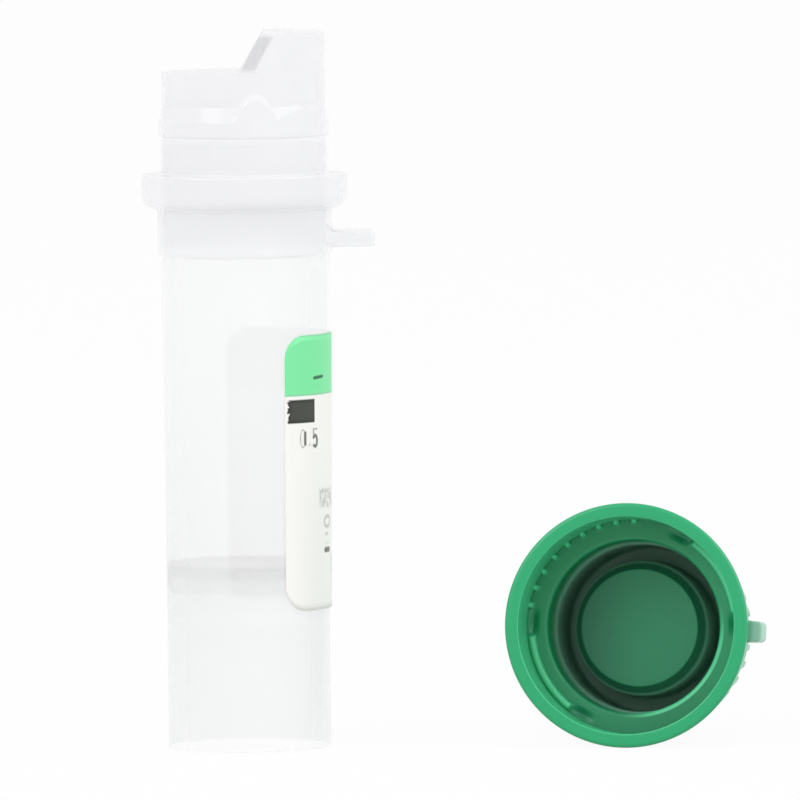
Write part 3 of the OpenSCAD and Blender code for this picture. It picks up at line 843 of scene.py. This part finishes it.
def digit_strokes():
    """Start, end, half width and strength of the strokes of the 0.5 mark."""
    half_w, half_h = DIGIT_HALF
    thick, thin = 0.1, 0.06
    x, y = ZERO
    strokes = [((x + 0.85 * half_w, y - 0.65 * half_h), (x + 0.85 * half_w, y + 0.65 * half_h), thick, 0.95),
               (POINT, (POINT[0] + 0.01, POINT[1]), thick, 0.25)]
    x, y = FIVE
    strokes += [((x + half_w, y + half_h), (x - 0.8 * half_w, y + half_h), thin, 0.55),
                ((x - 0.8 * half_w, y + half_h), (x - 0.8 * half_w, y + 0.26 * half_h), thin, 0.7)]
    bend = np.radians(np.linspace(140, -130, 7))
    bowl = np.stack([x + half_w * np.cos(bend), y - half_h * 0.35 + half_h * 0.65 * np.sin(bend)], 1)
    return strokes + [(tuple(a), tuple(b), thick, 0.92) for a, b in zip(bowl[:-1], bowl[1:])]


def label_film():
    """Satin white film: its green head band and dash, a dark bar, the 0.5 mark and a generic code.

    The film lets light through, so from behind it is nearly clear. The dark print is only on its
    outer face."""
    made, tree, shader = material("Label film")
    where = add(tree, "TexCoord").outputs["Object"]
    marks = place(tree, skin, Coordinates=where, Ripple_Size=0.25, Cloud_Size=4.0)
    spot, outer = place(tree, print_place(), Coordinates=where)
    stroke, ring, field = ink_stroke(), ink_ring(), ink_field()
    worn = add(tree, "TexNoise", {"Vector": where, "Scale": 3.2 / MM, "Detail": 3.0}).outputs[0]

    tone = mixed(tree, marks["Cloud"], (0.878, 0.867, 0.842, 1), (0.892, 0.883, 0.858, 1))
    for border, colour in ((0, (0.223, 0.61, 0.352, 1)), (BAND_BORDER, (0.19, 0.77, 0.345, 1))):
        head = place(tree, field, Place=spot, Low=(border - 1, BAND_FOOT + border, 0),
                     High=(99, label_high[2] - border, 0), Edge=0.04)["Mask"]
        tone = mixed(tree, head, tone, colour)
    dash = place(tree, stroke, Place=spot, Start=flat(DASH[0]), End=flat(DASH[1]), Half_Width=0.1,
                 Edge=0.05)["Mask"]
    tone = mixed(tree, maths(tree, "MULTIPLY", dash, outer), tone, (0.007, 0.11, 0.043, 1))

    ragged = add(tree, "MapRange", {"Value": worn, "From Min": 0.3, "From Max": 0.7, "To Min": -0.12,
                                    "To Max": 0.12}).outputs[0]
    near_left = soft_step(tree, add(tree, "SeparateXYZ", {"Vector": spot}).outputs["X"], 0.7, 0.4, False)
    shift = add(tree, "CombineXYZ", {"X": maths(tree, "MULTIPLY", ragged, near_left)}).outputs[0]
    bar_spot = vector_maths(tree, "ADD", spot, shift)["Vector"]
    for border, colour in ((0, (0.012, 0.013, 0.01, 1)), (BAR_BORDER, (0.037, 0.04, 0.032, 1))):
        bar = place(tree, field, Place=bar_spot, Low=(BAR_LOW[0] + border, BAR_LOW[1] + border, 0),
                    High=(BAR_HIGH[0] - border, BAR_HIGH[1] - border, 0), Edge=0.05 + border / 2)["Mask"]
        tone = mixed(tree, maths(tree, "MULTIPLY", bar, outer), tone, colour)

    block = place(tree, field, Place=spot, Low=flat(CODE_BLOCK[0]), High=flat(CODE_BLOCK[1]),
                  Edge=0.15)["Mask"]
    smear = place(tree, stroke, Place=spot, Start=flat(CODE_SMEAR[0]), End=flat(CODE_SMEAR[1]),
                  Half_Width=0.35, Edge=0.25)["Mask"]
    zero = place(tree, ring, Place=spot, Centre=flat(ZERO), Radii=(*DIGIT_HALF, 1), Half_Width=0.05)["Mask"]
    code_ring = place(tree, ring, Place=spot, Centre=flat(CODE_RING), Radii=(*CODE_RING_R, 1),
                      Half_Width=0.12, Edge=0.08)["Mask"]
    speckle = add(tree, "MapRange", {"Value": worn, "From Min": 0.35, "From Max": 0.68, "To Max": 0.45})
    ink = maths(tree, "MULTIPLY", block, speckle.outputs[0])
    shares = [(smear, 0.15), (zero, 0.55), (code_ring, 0.4)]
    dashes = [((x, y), (stop, y), size, share) for x, stop, y, size, share in CODE_DASHES]
    for start, end, half_width, share in digit_strokes() + dashes:
        shares.append((place(tree, stroke, Place=spot, Start=flat(start), End=flat(end),
                             Half_Width=half_width, Edge=0.05)["Mask"], share))
    for mask, share in shares:
        ink = maths(tree, "MAXIMUM", ink, maths(tree, "MULTIPLY", mask, share))
    tone = mixed(tree, maths(tree, "MULTIPLY", ink, outer), tone, (0.07, 0.072, 0.062, 1))

    inner = maths(tree, "SUBTRACT", 1.0, outer)
    behind = maths(tree, "MAXIMUM", inner, add(tree, "NewGeometry").outputs["Backfacing"])
    alpha = add(tree, "MapRange", {"Value": behind, "To Min": 1.0, "To Max": 0.12})
    rough = add(tree, "MapRange", {"Value": marks["Cloud"], "To Min": 0.35, "To Max": 0.45})
    bump = add(tree, "Bump", {"Height": marks["Height"], "Strength": 0.2, "Distance": 0.01 * MM})
    tree.links.new(tone, shader.inputs["Base Color"])
    tree.links.new(alpha.outputs[0], shader.inputs["Alpha"])
    tree.links.new(rough.outputs[0], shader.inputs["Roughness"])
    tree.links.new(bump.outputs[0], shader.inputs["Normal"])
    return made


# ---------------------------------------------------------------- The pieces
tube = closed_turned_mesh("clear_tube", *tube_points())
tube.data.materials.append(milky_plastic())
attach(tube, "root")
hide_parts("tube")

label = label_sheet()
label.data.materials.append(label_film())
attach(label, "root")
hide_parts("label")

cap_surface, cap_tones = cap_points()
cap = closed_turned_mesh("green_cap", lay_cap(cap_surface), cap_tones)
cap.data.materials.append(green_plastic())
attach(cap, "root")
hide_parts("cap")


# ---------------------------------------------------------------- Stage, light and camera
def seen_directly(tree):
    """1 for rays that come from the camera, a reflection or a transmission, 0 for the others."""
    path = add(tree, "LightPath").outputs
    either = maths(tree, "MAXIMUM", path["Is Camera Ray"], path["Is Glossy Ray"])
    return maths(tree, "MAXIMUM", either, path["Is Transmission Ray"])


FLOOR_WHITE = 0.95  # share of plain white in the floor where it is seen directly


def white_floor():
    """A wide white floor that keeps the object's shadow."""
    half = 3.0
    mesh = bpy.data.meshes.new("floor")
    mesh.from_pydata([(-half, -half, 0), (half, -half, 0), (half, half, 0), (-half, half, 0)], [],
                     [(0, 1, 2, 3)])
    floor = bpy.data.objects.new("floor", mesh)
    bpy.context.scene.collection.objects.link(floor)
    made, tree, shader = material("White floor")
    tree.nodes.remove(shader)
    matte = add(tree, "BsdfDiffuse", {"Color": (0.7, 0.7, 0.7, 1)})
    white = add(tree, "Emission", {"Color": (1, 1, 1, 1), "Strength": 1.0})
    share = maths(tree, "MULTIPLY", seen_directly(tree), FLOOR_WHITE)
    mix = add(tree, "MixShader", {0: share, 1: matte.outputs[0], 2: white.outputs[0]})
    tree.links.new(mix.outputs[0], tree.nodes["Material Output"].inputs["Surface"])
    mesh.materials.append(made)


def white_world(low_fill, high_fill):
    """White where it is seen or mirrored. On matte surfaces it is a soft fill light, which grows
    from the horizon up to overhead."""
    world = bpy.data.worlds.new("studio")
    bpy.context.scene.world = world
    world.use_nodes = True
    tree = world.node_tree
    background = tree.nodes["Background"]
    background.inputs["Color"].default_value = (1, 1, 1, 1)
    up = add(tree, "SeparateXYZ", {"Vector": add(tree, "TexCoord").outputs["Generated"]}).outputs["Z"]
    fill = add(tree, "MapRange", {"Value": up, "To Min": low_fill, "To Max": high_fill}).outputs[0]
    strength = add(tree, "MapRange", {"Value": seen_directly(tree), "To Min": fill, "To Max": 1.0})
    tree.links.new(strength.outputs[0], background.inputs["Strength"])


def aim(thing, target, roll=0.0):
    """Points a camera or a lamp at a target, with a roll about its own view in degrees."""
    view = (thing.location - target).to_track_quat("Z", "Y").to_matrix()
    turned = view @ type(view).Rotation(math.radians(roll), 3, "Z")
    thing.rotation_euler = turned.to_euler()


def lamp(name, location, size, watts):
    """A square soft box that looks at the middle of the object."""
    light = bpy.data.lights.new(name, "AREA")
    light.size = size
    light.energy = watts
    thing = bpy.data.objects.new(name, light)
    thing.location = location
    bpy.context.scene.collection.objects.link(thing)
    aim(thing, middle)


CAMERA_PLACE, CAMERA_TARGET = (0.00936, -0.7664, 0.0726), (0.00975, 0, 0.02197)  # in metres
CAMERA_LENS, CAMERA_ROLL = 543.6, -0.57  # in mm and degrees

low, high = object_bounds()
middle = (low + high) / 2
white_floor()
white_world(0.35, 1.15)
lamp("key", (-0.5, -0.5, 0.5), 0.4, 2.75)
lamp("side", (0.65, -0.25, 0.45), 0.5, 2.55)

camera_data = bpy.data.cameras.new("camera")
camera_data.lens = CAMERA_LENS
camera_data.sensor_width = 36
camera_data.clip_start, camera_data.clip_end = 0.05, 20
camera = bpy.data.objects.new("camera", camera_data)
camera.location = CAMERA_PLACE
bpy.context.scene.collection.objects.link(camera)
aim(camera, type(middle)(CAMERA_TARGET), CAMERA_ROLL)
bpy.context.scene.camera = camera
bpy.context.scene.view_settings.view_transform = "Standard"
